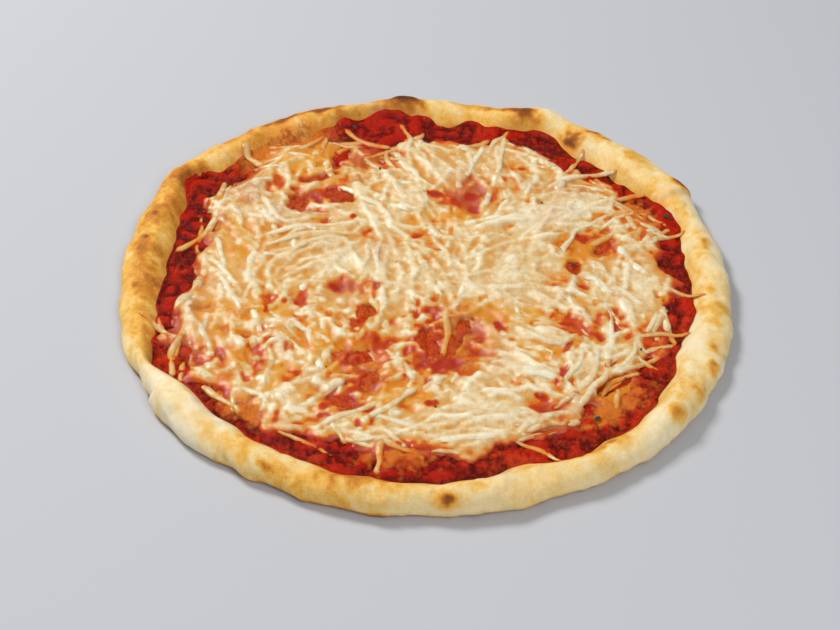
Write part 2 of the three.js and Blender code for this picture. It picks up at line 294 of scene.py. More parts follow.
def patches(x, y, spots, ragged, soft):
    """1 inside any spot, 0 outside, with an edge as ragged and as soft as asked. Spots: x, y,
    half length, half width, turn."""
    found = np.zeros(np.shape(x))
    rough = ragged * (cloud(x, y, 3.5, 11) + 0.6 * cloud(x, y, 1.6, 12))
    for sx, sy, long, wide, turn in spots:
        angle = math.radians(turn)
        along = (x - sx) * math.cos(angle) + (y - sy) * math.sin(angle)
        across = (y - sy) * math.cos(angle) - (x - sx) * math.sin(angle)
        reach = np.hypot(along / long, across / wide) + rough
        found = np.maximum(found, 1 - ramp(reach, 1 - soft, 1 + soft))
    return found


print("a hump of half width 10, every 5 degrees:", hump(np.arange(-10, 11, 5), 10).round(1))

# %% [markdown]
# ## The crust
# A ball of dough is pressed out by hand, and its edge is left thick. In the oven the edge puffs up,
# blisters, and browns where it stands highest. The rim here is 17 to 20 mm wide and 11 to 14 mm
# high. Where the cook stretched it twice, one stretch laps over the next and leaves a step.

# %% Sizes of the crust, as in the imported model
DOUGH_RADIUS = 146.5
BASE_THICKNESS = 4
RIM_HEIGHT = 11.5
WAIST_HEIGHT = 4.2
UNDERSIDE_INSET = 5.5
CREST_SHARE = 0.5
SAUCE_RADIUS = 129
# Bulges, puffs and lobes: direction, half width, height
OUTLINE_BULGES = [(47, 50, 7), (138, 46, 5), (97, 8, 2), (68, 9, 2), (290, 30, -1.5)]
RIM_PUFFS = [(97, 9, 2.5), (82, 8, -1), (68, 9, 2.5), (180, 34, -1), (265, 38, 1), (345, 16, -0.8)]
# Folds: direction of the lap, run, rise, how far the outline steps out
RIM_FOLDS = [(30, 26, 2.4, 1.6), (150, 24, 1.6, 1.6), (216, 26, 1.8, 3)]
SAUCE_LOBES = [
    (150, 9, 11), (134, 14, 5), (104, 18, 6), (64, 14, 5), (24, 12, 4), (2, 24, -3),
    (340, 18, -6), (290, 12, -6), (207, 11, 8), (178, 26, -4),
]


def fold_share(at, run, direction):
    """All of a fold at its lap, which rises within 1.5 degrees, and less along its run."""
    past = turn_from(at, direction)
    return ramp(past, -1.5, 0) * hump(np.maximum(past, 0), run)


def wave(turns, direction):
    return np.sin(np.radians(turns * direction))


def outer_radius(direction):
    folded = sum(out * fold_share(at, run, direction) for at, run, high, out in RIM_FOLDS)
    wobble = 0.5 * wave(13, direction) + 0.4 * wave(29, direction)
    return uneven(DOUGH_RADIUS, OUTLINE_BULGES, direction) + folded + wobble


def rim_height(direction):
    folded = sum(high * fold_share(at, run, direction) for at, run, high, out in RIM_FOLDS)
    wobble = 0.4 * wave(17, direction) + 0.3 * wave(7, direction)
    return uneven(RIM_HEIGHT, RIM_PUFFS, direction) + folded + wobble


def sauce_radius(direction):
    ripple = 0.6 * wave(23, direction) + 0.5 * wave(37, direction)
    return uneven(SAUCE_RADIUS, SAUCE_LOBES, direction) + ripple


def slope_height(share, direction):
    """Height of the rim's inner slope, from the foot at share 0 to the crest at share 1."""
    rise = 1 - (1 - np.clip(share, 0, 1)) ** 1.8
    return BASE_THICKNESS + (rim_height(direction) - BASE_THICKNESS) * rise


def share_climbed(radius, direction):
    """How far up the inner slope a place is: 0 at its foot, 1 at the crest."""
    foot = sauce_radius(direction)
    return (radius - foot) / (CREST_SHARE * (outer_radius(direction) - foot))


directions = np.arange(0, 360, 10.0)
outline = outer_radius(directions).round(1)
print("outline radius in mm:", outline.min(), "to", outline.max())

# %% [markdown]
# The crust is a spin: a strip of vertices turned round the middle, as a potter's wheel would do it.
# The strip is drawn straight, so that a vertex tells by its height which ring of the section it
# belongs to. Each ring is then moved to its place, direction by direction.

# %% Spin the crust
CRUST_STEPS = 880


def section_rings(direction):
    """Radius and height of each ring, from the middle of the underside to the middle of the top."""
    outer, top, foot = outer_radius(direction), rim_height(direction), sauce_radius(direction)
    crest = foot + CREST_SHARE * (outer - foot)
    flat = np.zeros_like(direction)
    edge = outer - UNDERSIDE_INSET
    # The flat underside
    rings = [(share * edge, flat) for share in (0, 0.3, 0.6, 0.8, 0.9, 0.96, 1)]
    # Round the hem to the waist, where the crust is widest
    for angle in np.radians(np.linspace(12, 90, 8)):
        under = outer - UNDERSIDE_INSET * (1 - math.sin(angle))
        rings.append((under, flat + WAIST_HEIGHT * (1 - math.cos(angle))))
    # Round the outer face to the crest
    for angle in np.radians(np.linspace(6, 90, 17)):
        height = WAIST_HEIGHT + (top - WAIST_HEIGHT) * math.sin(angle)
        rings.append((crest + (outer - crest) * math.cos(angle), height))
    # Down the inner slope to its foot
    for share in np.linspace(0.94, 0, 16):
        rings.append((foot + share * (crest - foot), slope_height(share, direction)))
    # The well that the sauce lies in
    rings += [(share * foot, flat + BASE_THICKNESS) for share in (0.97, 0.9, 0.6, 0.3, 0)]
    return np.array(rings)


turned = np.arange(CRUST_STEPS) * 360 / CRUST_STEPS
rings = section_rings(turned)
crust_shape = bmesh.new()
strip = [crust_shape.verts.new((1, 0, ring)) for ring in range(len(rings))]
spine = [crust_shape.edges.new(pair) for pair in zip(strip, strip[1:])]
bmesh.ops.spin(
    crust_shape,
    geom=strip + spine,
    cent=(0, 0, 0),
    axis=(0, 0, 1),
    angle=math.tau,
    steps=CRUST_STEPS,
    use_merge=True,
)
print("rings:", len(rings), "vertices:", len(crust_shape.verts))

# %% [markdown]
# Blisters are small domes of dough that gas has lifted. The large ones are where they are seen on
# the real rim, and the small ones are scattered. Lumps of three sizes make the rest uneven. All of
# it is pushed out square to the surface. A few lumps would then stand half a millimetre out of the
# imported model's box, and they are pressed softly back, so that the size stays true.

# %% Blisters and lumps
# Large blisters: direction, distance from the middle, half width, rise
BLISTERS = [
    (96, 142, 8, 1.3), (70, 140, 7, 1.2), (57, 134, 6, 1.4), (53, 144, 6, 1), (13, 138, 5, 1.2),
    (9, 136, 7, 0.9), (354, 137, 7, 0.8), (330, 143, 7, 0.9), (323, 141, 5, 0.9),
    (310, 136, 5, 0.9), (275, 142, 6, 0.8), (240, 143, 8, 0.8), (220, 142, 7, 1.2),
    (173, 137, 7, 0.9), (164, 139, 7, 1), (120, 140, 9, 1),
]

# Small blisters: the ranges of the same four measures
SMALL_BLISTERS = 170
BLISTER_RANGES = [(0, 360), (131, 146), (1.6, 4), (0.2, 0.6)]
chance = np.random.default_rng(4)
small_blisters = [
    [chance.uniform(low, high) for low, high in BLISTER_RANGES] for _ in range(SMALL_BLISTERS)
]


def dough_lift(x, y, z):
    """How far the dough stands out of its plain section."""
    # The noise is read aslant, or its lumps would be stripes on the steep sides.
    slant_x, slant_y = x + 1.3 * z, y - 1.1 * z
    lift = 0.8 * cloud(slant_x, slant_y, 17, 21) + 0.55 * cloud(slant_x, slant_y, 7.5, 22)
    lift += 0.2 * cloud(slant_x, slant_y, 3, 23)
    for at, reach, half, rise in BLISTERS + small_blisters:
        bx, by = place_at(at, reach)
        near = np.hypot(x - bx, y - by) / half
        lift += rise * np.clip(1 - near**2, 0, 1)
    return lift


def push_out(surface, lift):
    """Move a surface, given as rings of points, along its normals."""
    along = np.gradient(surface, axis=0)
    ahead, behind = np.roll(surface, -1, axis=1), np.roll(surface, 1, axis=1)
    normal = np.cross(ahead - behind, along)
    length = np.linalg.norm(normal, axis=2, keepdims=True)
    return surface + normal / np.maximum(length, 1e-9) * lift[..., None]


def press_under(values, limit, soft=1.2):
    """Press values that come near a limit smoothly back under it."""
    past = np.maximum(values - (limit - soft), 0)
    return values - past + soft * (1 - np.exp(-past / soft))


surface = np.stack([*place_at(turned, rings[:, 0]), rings[:, 1]], axis=2)
# The underside stays flat, and so do the well's middle and the poles.
reach = rings[:, 0]
free = ramp(reach, 110, 126) * ramp(surface[..., 2], 0.2, 2.5)
# Where sauce lies on the slope of the rim, its weight has kept the dough smooth.
free *= 0.15 + 0.85 * ramp(reach - sauce_radius(turned), 1, 6)
surface = push_out(surface, free * dough_lift(*np.moveaxis(surface, 2, 0)))
low, high = np.array(cad_box) / MM
surface = press_under(surface, high)
surface[..., :2] = -press_under(-surface[..., :2], -low[:2])
print("rim tops in mm:", surface[..., 2].max().round(1))

# %% [markdown]
# Every piece is finished in the same way: its shape becomes a mesh, it is smooth shaded, it rides
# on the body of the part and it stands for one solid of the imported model.


# %% Finish a piece
def finish_piece(name, shape, material, node, tones):
    """Make an object of a bmesh. `tones` is a function of the vertices' x, y and z in millimetres
    that gives the masks its material reads, by name."""
    bmesh.ops.recalc_face_normals(shape, faces=shape.faces)
    mesh = bpy.data.meshes.new(name)
    shape.to_mesh(mesh)
    shape.free()
    mesh.shade_smooth()
    mesh.materials.append(material)
    places = np.empty(3 * len(mesh.vertices))
    mesh.vertices.foreach_get("co", places)
    masks = tones(*(places.reshape(-1, 3).T / MM))
    for mask, values in masks.items():
        attribute = mesh.attributes.new(mask, "FLOAT", "POINT")
        attribute.data.foreach_set("value", np.clip(values, 0, 1).astype(np.float32))
    piece = bpy.data.objects.new(name, mesh)
    bpy.context.scene.collection.objects.link(piece)
    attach(piece, "root")
    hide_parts(node)
    triangles = sum(len(face.vertices) - 2 for face in mesh.polygons)
    print(name, "triangles:", triangles)


# %% [markdown]
# ### Baked dough
# Wheat dough bakes from cream to gold to brown. The colour follows the heat: crests and blisters
# brown first, hollows stay cream, and loose flour leaves a pale dusty film. Where sauce ran on the
# dough it bakes to a speckled orange. The surface is dry, so it is rough, and its fine pores only
# show as a soft grain. What tells the eye that it is bread is the blotchy gold with a few nearly
# black spots, each with a soft brown ring.

# %% Where the dough is browned
# The heat of the oven by direction: where, half width, how much browner
OVEN_HEAT = [(160, 80, 0.19), (258, 45, 0.13), (92, 34, 0.08), (0, 60, -0.04), (222, 40, -0.2)]
# Spots: x, y, half length, half width, turn
GOLDEN_SPOTS = [
    (84, 118, 9, 5, -40), (108, 99, 12, 5, -50), (134, 31, 4, 7, 0), (140, 42, 4, 5, 20),
    (120, 66, 9, 8, 60), (137, -15, 8, 4, 0), (134, -42, 5, 8, 0), (118, -68, 7, 5, 60),
    (35, -123, 9, 3, 10), (23, -135, 5, 3, 10), (74, -110, 8, 3, 35), (-27, -134, 14, 4, -5),
    (-62, -129, 13, 5, -25), (-80, -117, 10, 5, -40), (-97, -104, 12, 5, -45),
    (-108, -92, 9, 6, -50), (-136, 38, 7, 9, 0), (-137, 14, 6, 8, 0), (-133, -12, 6, 14, 5),
    (-128, -48, 6, 22, 20), (-127, 70, 6, 12, -25), (-84, 114, 26, 10, 38), (-52, 133, 18, 7, 15),
    (30, 139, 16, 3, -12),
]
BROWN_SPOTS = [
    (135.8, -24.6, 3.4, 2.6, 0), (134, -42, 2.4, 3, 0), (133, -54, 2.6, 4, 0),
    (125.5, -71, 3, 5, -20), (113, -85.5, 3.6, 4.2, -20), (87, -104.5, 4.4, 3.8, 20),
    (12, -142, 5.5, 3.2, 5), (-66, -127, 4, 1.4, -25), (-135, 38, 1.4, 1.6, 0),
    (-137, 19, 1.2, 1.2, 0), (-138.5, -13, 1.2, 1.6, 0), (-79, 121, 12, 2.4, 35),
    (-60, 130, 9, 2, 20), (136, -3, 2, 2.6, 0), (120, 103, 3, 2, -50), (137, 31, 2, 4, 0),
    (-15, 141, 13, 4.6, -5), (47, 132.5, 13, 4.6, -22), (72, 113, 9, 6, 50), (128, 77, 8, 3, -28),
]
SCORCHED_SPOTS = [
    (-15.6, 141.6, 7, 3.2, -5), (47.5, 133, 8, 3, -22), (73, 113, 4.5, 3.5, 50),
    (87, 117, 6, 1.6, -35), (130, 77, 6, 1.2, -28), (12, -142, 2.6, 1.6, 5),
]


def dough_tones(x, y, z):
    radius, direction = polar(x, y)
    past_foot = radius - sauce_radius(direction)
    top = rim_height(direction)
    broad = cloud(x + z, y - z, 15, 30)
    grain = cloud(x + z, y - z, 6, 31) + 0.6 * cloud(x + z, y - z, 2.4, 32)
    under = 1 - ramp(z, 0.3, 3)
    # The crest browns first, and the inner slope is oiled all round.
    crest = ramp(z, top - 5, top + 0.5)
    oiled = 1 - ramp(past_foot, 2, 9 + 4 * cloud(x, y, 14, 33))
    brown = uneven(0.2, OVEN_HEAT, direction) + 0.03 * crest + 0.15 * oiled
    brown += 0.09 * broad + 0.08 * grain + 0.2 * patches(x, y, GOLDEN_SPOTS, 0.6, 0.9)
    caught = patches(x, y, BROWN_SPOTS, 0.35, 0.9) * ramp(z, 5, 8)
    scorched = patches(x, y, SCORCHED_SPOTS, 0.3, 0.9) * ramp(z, 6, 9)
    brown += 0.24 * caught + 0.34 * scorched
    # The hem is toasted by the oven's floor, and the underside has its leopard spots.
    hem = ramp(z, 0.4, 1.6) * (1 - ramp(z, 2.2, 4.6))
    brown += hem * (0.16 + 0.14 * cloud(x, y, 9, 34))
    leopard = ramp(cloud(x, y, 9, 35) + 0.5 * cloud(x, y, 3.5, 36), 0.35, 0.95)
    brown += under * (0.18 + 0.08 * grain + 0.4 * leopard)
    # Loose flour lies all over, and most on the right.
    floury = ramp(cloud(x, y, 22, 38) + 0.5 * grain, 0, 1) * (1 - under)
    floury *= 0.4 + 0.6 * toward(0, 130, direction)
    floury *= 1 - np.maximum(caught, scorched)
    floury += 0.9 * toward(15, 16, direction) * ramp(radius, 137, 144)
    # The foot of the slope has soaked up sauce, and in three places it ran up the rim.
    wet = 1 - ramp(past_foot, -1, 4 + 2.6 * cloud(x, y, 5, 37))
    spill = toward(126, 26, direction) * (1 - ramp(radius, 134, 147))
    spill += 0.8 * toward(27, 8, direction) * (1 - ramp(radius, 134, 142))
    spill += 0.4 * toward(178, 40, direction) * (1 - ramp(past_foot, 2, 8))
    stain = np.maximum(wet, 0.75 * spill * (1 + 0.35 * grain)) * (1 - under)
    speckled = spill * (1 - under)
    brown -= 0.1 * floury + 0.22 * speckled
    return {"brown": brown, "stain": stain, "flour": floury, "speckled": speckled}


# %% Baked dough material
baked_dough, tree, shader, place = new_material(
    "baked wheat dough",
    {
        "Roughness": 0.62,
        "IOR": 1.45,
        "Specular IOR Level": 0.25,
        "Subsurface Weight": 0.2,
        "Subsurface Radius": (1, 0.55, 0.25),
        "Subsurface Scale": 1.6 * MM,
    },
)
grain = noise(tree, place, 3.2, 7, 0.72)
speckle = noise(tree, place, 1.1, 3, 0.6)
# The patterns are about a half on average, and that half is taken off again.
blotchy = scaled_sum(tree, grain, 0.4, read_mask(tree, "brown"))
speckly = scaled_sum(tree, speckle, 0.22, blotchy)
heat = scaled_sum(tree, speckly, 1, -0.33)
BAKING_STOPS = [
    (0.0, "#F7E8C6"),
    (0.2, "#F2D596"),
    (0.38, "#EDB54E"),
    (0.55, "#D4872A"),
    (0.74, "#9C5519"),
    (1.0, "#5A2C0E"),
]
# Dusty flour, the orange of soaked up sauce, its dark specks and its red edge
DOUGH_LAYERS = [
    ("flour", 0.7, 0.5, 1.5, "#F2E4C6", 0.45),
    ("stain", 0.7, 0.65, 1.2, "#F09A36", 0.8),
    ("speckled", 1.5, 1.5, 1.95, "#A84212", 0.7),
    ("stain", 0.7, 1.15, 1.5, "#A23315", 0.75),
]
colour = tint_over(tree, tints_along(tree, heat, BAKING_STOPS), grain, DOUGH_LAYERS)
tree.links.new(colour, shader.inputs["Base Color"])
pores = noise(tree, place, 0.9, 6, 0.7)
add_relief(tree, shader, ["Normal"], pores, 0.5, 0.7)
print("baking colours:", [tint for position, tint in BAKING_STOPS])

# %% [markdown]
# Now each vertex of the spin goes to its place on the finished surface. The rings at the two poles
# have no width, so their vertices fall together and are merged.

# %% Crust
MERGE_DISTANCE = 0.02
for vertex in crust_shape.verts:
    step = round(math.degrees(math.atan2(vertex.co.y, vertex.co.x)) * CRUST_STEPS / 360)
    vertex.co = Vector(surface[round(vertex.co.z), step % CRUST_STEPS]) * MM
bmesh.ops.remove_doubles(crust_shape, verts=crust_shape.verts, dist=MERGE_DISTANCE * MM)
finish_piece("baked_crust", crust_shape, baked_dough, "crust", dough_tones)

# %% [markdown]
# ## The cheese's map
# Before any cheese is made, its plan is drawn as maps on a grid of half a millimetre: where it
# lies, where it leaves the sauce bare, where it is thin, oily or toasted. The sauce and the cheese
# are both shaped from these maps, so they agree. First comes what is seen from above.

# %% Where the cheese is open, thin, oily and toasted
CHEESE_RADIUS = 116
# Lobes of its outline: direction, half width, height
CHEESE_LOBES = [
    (0, 9, 8), (20, 13, 7), (38, 12, 6), (66, 14, 5), (84, 14, -3), (104, 9, -11), (128, 22, 11),
    (150, 12, 7), (174, 14, -4), (208, 24, 14), (236, 18, 5), (267, 12, -4), (290, 14, -3),
    (313, 10, -6), (340, 6, 4),
]
# Openings, large and small: x, y, half length, half width, turn. All the spots are given so.
WINDOWS = [
    (-65, 57, 5, 4, 60), (-46, 65, 7.5, 2.6, -35), (-47, 59, 3.4, 2.2, 0), (-55, 59, 1.6, 2.2, 0),
    (-58, 77, 8.5, 2, 28), (-46, 99, 9, 3.4, 78), (-41, 113, 11, 3.6, -5), (-38, 45, 1.8, 1.6, 0),
    (3, 67, 6, 1.8, -5), (14, 61, 5, 2, -50), (22, 67, 4.5, 2.8, 0), (23, 56, 2.6, 3.4, 60),
    (77, 37, 3, 4, 60), (86, 31, 5, 3, 50), (72, 16, 3.4, 5, -20), (88, -23, 2.2, 3, 0),
    (-28, -24, 6, 3, 50), (2, -42, 9, 3.6, 95), (14, -42, 7, 3, 75), (18, -30, 6, 2.6, 60),
    (35, -31, 2.2, 5, 25), (12, -56, 4.5, 2.4, 20), (72, -34, 2.4, 2.6, 30), (66, -27, 5, 1.2, 5),
    (80, -35, 4, 1.5, -40), (66, -45, 1.4, 4, -25), (86, -66, 8, 3.4, 38),
    (86, -54, 3.6, 1.6, 45), (63, -63, 2, 6, -20), (100, -56, 1.3, 3.6, 0),
    (53, -76, 3, 1.6, -20), (51, -83, 3.4, 1.4, -20), (61, -82, 3.4, 1.4, 10),
    (-29, -54, 6, 3.1, 20), (-24, -68, 5.5, 3.4, 30), (-36, -84, 6.5, 2.2, -25),
    (-43, -87, 2.2, 2.4, 0), (-42, -93, 4.5, 1.2, 0), (-109, -60, 2.6, 9, 8),
    (-75, -24, 1.4, 4, 10), (-44, -7, 3, 1.5, -20), (5, -83, 3.4, 2, 10),
]
# Thin cheese with the sauce showing through
THIN_SPOTS = [
    (104, 45, 12, 9, -50), (82, 32, 13, 11, 30), (70, 30, 6, 5, 0), (53, -43, 8, 1.1, -24),
    (50, -48, 8, 1, -22), (52, -53, 8, 1, -24), (56, -57, 6, 1, -30), (62, -41, 4, 1.2, 40),
    (71, -42, 5, 1.4, 50), (60, -50, 5, 6, 0), (20, -30, 15, 10, 30), (8, -50, 16, 12, 0),
    (70, -30, 14, 7, -30), (-29, -52, 14, 17, 0), (-24, -70, 11, 10, 0), (-38, -86, 15, 10, 10),
    (-55, -87, 8, 5, 40), (4, -82, 16, 8, 10), (15, -74, 5, 5, 0), (-8, -113, 12, 7, 10),
    (-55, 63, 9, 5, 20), (-52, 102, 12, 10, 60), (-30, 94, 12, 8, 20), (16, 68, 14, 18, 0),
    (-75, -22, 4, 9, 0), (-55, -41, 3, 4, 0), (-16, -43, 6, 5, 0), (-26, -41, 5, 7, 0),
    (-38, -6, 10, 4, 0), (-108, -58, 4, 9, 8), (-116, -40, 3, 12, 5), (-78, -57, 4, 6, 0),
    (66, -95, 8, 9, 40), (105, -33, 14, 6, 15), (88, -24, 6, 7, 0), (56, -82, 10, 6, 0),
    (62, 40, 7, 3, -20),
]
# Orange oil that has gathered
OILY_SPOTS = [
    (55, -48, 13, 11, 0), (-60, 102, 24, 10, 38), (-50, -46, 9, 15, 10), (-88, -27, 14, 5, 10),
    (15, 48, 15, 8, 10), (28, 36, 4, 4.5, 0), (-4, 44, 4, 4, 0), (30, -22, 12, 8, -10),
    (47, -20, 8, 5, -10), (-60, 90, 8, 9, 60), (-88, 95, 12, 6, -60), (-84, -60, 5, 5, 0),
    (-96, 28, 7, 22, 5), (76, 27, 12, 9, 40), (-10, -80, 14, 9, 0), (90, -74, 10, 5, 30),
    (-95, -22, 6, 3, 0), (108, 56, 8, 5, -40),
]
# Cheese that has caught and browned
TOASTED_SPOTS = [
    (-98, 64, 13, 19, 30), (-104, 40, 5, 15, 0), (-32, 92, 13, 2.4, 35), (-34, 76, 10, 1.8, 20),
    (-88, -68, 4, 3.4, 0), (-49, -65, 3.4, 2.8, 0), (-76, -13, 3, 2.2, 0),
    (-63, -18, 1.8, 4.5, 0), (55, 62, 1.6, 1.8, 0), (95, 5, 2, 3, 20), (78, 73, 4, 2, 10),
    (66, -8, 1.6, 4, 15), (92, -8, 2, 3.4, 40), (56, -95, 4.5, 2.6, 0), (-108, -25, 2.6, 3.4, 0),
    (-14, 12, 2, 2, 0), (-60, 47, 6, 1.4, 30), (35, -46, 3, 2, 0),
]
# Half melted cheese, which the sauce under it turns a pinkish beige
BLUSHED_SPOTS = [
    (16, 74, 12, 15, 20), (62, 50, 13, 9, 30), (60, 76, 20, 6, -20), (-104, -30, 9, 24, 10),
    (-66, -45, 7, 14, 0), (-50, 104, 15, 12, 20), (-36, -10, 14, 8, 0), (-44, -76, 10, 5, 30),
    (-70, 48, 12, 9, 0), (34, -50, 7, 16, 0), (20, -28, 12, 8, 0), (80, 12, 8, 9, 0),
    (66, -84, 12, 7, 20), (-24, 22, 8, 12, 0),
]
# Thick smooth cream: it has melted flat, and hardly a strand shows
CREAMY_SPOTS = [
    (58, 52, 22, 14, 35), (8, 92, 16, 13, 80), (36, 98, 12, 9, 80), (100, 8, 14, 12, 0),
    (30, 12, 30, 12, 20), (20, -82, 26, 9, 5), (-38, 12, 26, 10, 10), (-96, 5, 10, 22, 10),
    (-10, 60, 9, 12, 40), (-60, -84, 18, 7, -25), (-100, -70, 8, 6, -40),
]
print("openings:", len(WINDOWS), "thin spots:", len(THIN_SPOTS))

# %% [markdown]
# A map holds one number for each point of a square grid over the pizza. It can be softened, and it
# can be read at any place.

# %% Maps and how they are read
MAP_HALF = 150
MAP_STEP = 0.5
LINE = np.arange(-MAP_HALF, MAP_HALF + MAP_STEP / 2, MAP_STEP)
MAP_X, MAP_Y = np.meshgrid(LINE, LINE, indexing="ij")
MAP_RADIUS, MAP_DIRECTION = polar(MAP_X, MAP_Y)


def map_cloud(size, seed):
    return cloud(MAP_X, MAP_Y, size, seed)


def map_patches(spots, ragged, soft):
    return patches(MAP_X, MAP_Y, spots, ragged, soft)


def cheese_radius(direction):
    ripple = 1.6 * wave(17, direction) + 1.3 * wave(31, direction)
    return uneven(CHEESE_RADIUS, CHEESE_LOBES, direction) + ripple


def blur(field, size):
    """Soften a map by about `size` millimetres."""
    reach = int(math.ceil(3 * size / MAP_STEP))
    weights = np.exp(-0.5 * (np.arange(-reach, reach + 1) * MAP_STEP / size) ** 2)
    weights /= weights.sum()
    for _ in range(2):
        padded = np.pad(field, [(reach, reach), (0, 0)], "edge")
        rows = [weight * padded[at : at + len(LINE)] for at, weight in enumerate(weights)]
        field = sum(rows).T
    return field


def read(field, x, y):
    """The value of a map at a place, between its points too."""
    u = np.clip((x - LINE[0]) / MAP_STEP, 0, len(LINE) - 1.001)
    v = np.clip((y - LINE[0]) / MAP_STEP, 0, len(LINE) - 1.001)
    i, j = u.astype(int), v.astype(int)
    a, b = u - i, v - j
    low = field[i, j] * (1 - a) + field[i + 1, j] * a
    high = field[i, j + 1] * (1 - a) + field[i + 1, j + 1] * a
    return low * (1 - b) + high * b


print("map points:", MAP_X.size)

# %% [markdown]
# The edge of the cheese is torn, so its outline gets noise of two sizes. Only the large openings
# show bare sauce. In the small ones a film of cheese is left, and the sauce shines through it.
# Pinholes and clots are everywhere, and most of all in the oily front left quarter. Oil gathers
# round the openings and on the left, where the oven was hottest.

# %% Draw the maps
# Half length by half width from which an opening shows bare sauce
OPEN_SIZE = 14
torn = 3.2 * map_cloud(8, 41) + 2.2 * map_cloud(3.2, 42)
inside_edge = cheese_radius(MAP_DIRECTION) - MAP_RADIUS + torn
open_windows = [spot for spot in WINDOWS if spot[2] * spot[3] > OPEN_SIZE]
windows = map_patches(open_windows, 0.45, 0.3)
films = map_patches(WINDOWS, 0.45, 0.45)
cover = ramp(inside_edge, -1, 1) * (1 - windows)
kept_clear = np.maximum(1 - cover, 0.9 * films)
buried = blur(cover, 2)
oily_quarter = map_patches([(-36, -52, 66, 44, 5)], 0.2, 0.5)
creamy = map_patches(CREAMY_SPOTS, 0.4, 0.8)
pinholes = 0.6 * map_cloud(7, 46) + 0.7 * map_cloud(3, 47)
thin = map_patches(THIN_SPOTS, 0.6, 0.8) + 0.9 * blur(windows, 2) + films
thin += ramp(pinholes + 0.12 * oily_quarter, 0.4, 0.7) * (0.8 + 0.2 * oily_quarter)
thin += 0.75 * ramp(9 - inside_edge, 0, 8) * ramp(map_cloud(13, 48), -0.8, 0.3)
thin = np.clip(thin, 0, 1) * (1 - 0.7 * creamy)
oily = map_patches(OILY_SPOTS, 0.5, 0.9) + 0.9 * blur(np.maximum(windows, films), 2.5)
oily += 0.32 * ramp(-MAP_X, 30, 90)
oily += (0.25 + 0.35 * oily_quarter) * ramp(map_cloud(8, 45), 0, 0.6)
oily *= 1 - 0.85 * films
toasted = map_patches(TOASTED_SPOTS, 0.7, 0.9) * (0.7 + 0.5 * map_cloud(4, 44))
blushed = map_patches(BLUSHED_SPOTS, 0.4, 0.9) + 0.3 * ramp(map_cloud(17, 49), 0, 0.7)
blushed = (blushed + 0.2 * ramp(10 - inside_edge, 0, 10)) * (1 - films)
print("cheese covers", round(float(cover.sum()) * MAP_STEP**2 / 100), "cm2")

# %% [markdown]
# ## The tomato sauce
# Crushed tomato, cooked onto the dough. It is wet and pulpy: soft lumps of 3 to 6 mm with a fine
# grain on top. It lies about 2 mm thick, and thins out on the foot of the rim.
# Pulp has no direction, so a square grid suits it. The grid is cut to the sauce's outline and
# lifted to the height that the noise gives. Its edge is then drawn down and filled underneath,
# which makes a closed layer. The cheese will be made in the same way.


# %% A closed layer from a square grid
def make_layer(name, spacing, edge, top, underside):
    """A bmesh of a layer: `edge` gives its outline by direction, `top` its height by place."""
    count = round(2 * MAP_HALF / spacing)
    shape = bmesh.new()
    bmesh.ops.create_grid(shape, x_segments=count, y_segments=count, size=MAP_HALF)
    x, y, _ = np.array([vertex.co for vertex in shape.verts]).T
    radius, direction = polar(x, y)
    spare = [v for v, out in zip(shape.verts, radius > edge(direction)) if out]
    bmesh.ops.delete(shape, geom=spare, context="VERTS")
    loose = [v for v in shape.verts if len(v.link_faces) == 0]
    bmesh.ops.delete(shape, geom=loose, context="VERTS")
    rim = [e for e in shape.edges if e.is_boundary]
    # The stepped rim of the grid is drawn out to the true outline.
    for vertex in {v for e in rim for v in e.verts}:
        radius, direction = polar(vertex.co.x, vertex.co.y)
        vertex.co *= float(edge(direction)) / radius
    x, y, _ = np.array([vertex.co for vertex in shape.verts]).T
    for vertex, height in zip(shape.verts, top(x, y)):
        vertex.co.z = height
    skirt = bmesh.ops.extrude_edge_only(shape, edges=rim)["geom"]
    hem = [e for e in skirt if isinstance(e, bmesh.types.BMEdge) and e.is_boundary]
    for vertex in {v for e in hem for v in e.verts}:
        vertex.co.z = underside
    bmesh.ops.edgeloop_fill(shape, edges=hem)
    bmesh.ops.scale(shape, vec=(MM, MM, MM), verts=shape.verts)
    print(name, "vertices:", len(shape.verts))
    return shape


# %% Shape the sauce
SAUCE_SPACING = 0.9
SAUCE_UNDERSIDE = BASE_THICKNESS + 0.3
SAUCE_LEVEL = 5.2
SAUCE_CLIMB = 1.6


def sauce_edge(direction):
    foot = sauce_radius(direction)
    x, y = place_at(direction, foot)
    return foot + SAUCE_CLIMB + 1.6 * cloud(x, y, 12, 50) + 0.7 * cloud(x, y, 5, 49)


def sauce_top(x, y):
    radius, direction = polar(x, y)
    # Noise without its sign has round tops and sharp creases, as pulp has.
    pulp = 2.4 * np.abs(cloud(x, y, 7, 51)) + 1.2 * np.abs(cloud(x, y, 3.3, 52))
    pulp += 0.4 * np.abs(cloud(x, y, 1.6, 53)) + 0.25 * cloud(x, y, 13, 54) - 0.3
    # The cheese has pressed it flatter.
    pulp *= 1 - 0.35 * read(buried, x, y)
    # At the front, steam has lifted it.
    bubble = 1.8 * patches(x, y, [(-8, -114, 11, 6, 8)], 0.3, 0.8)
    from_edge = sauce_edge(direction) - radius
    film = (0.3 + 0.8 * ramp(from_edge, 0, 2.5)) * (1 + 0.3 * pulp)
    film += slope_height(share_climbed(radius, direction), direction)
    inner = ramp(from_edge, 0, 3.5)
    return np.maximum(inner * (SAUCE_LEVEL + pulp + bubble), 0) + (1 - inner) * film


sauce_shape = make_layer("sauce", SAUCE_SPACING, sauce_edge, sauce_top, SAUCE_UNDERSIDE)
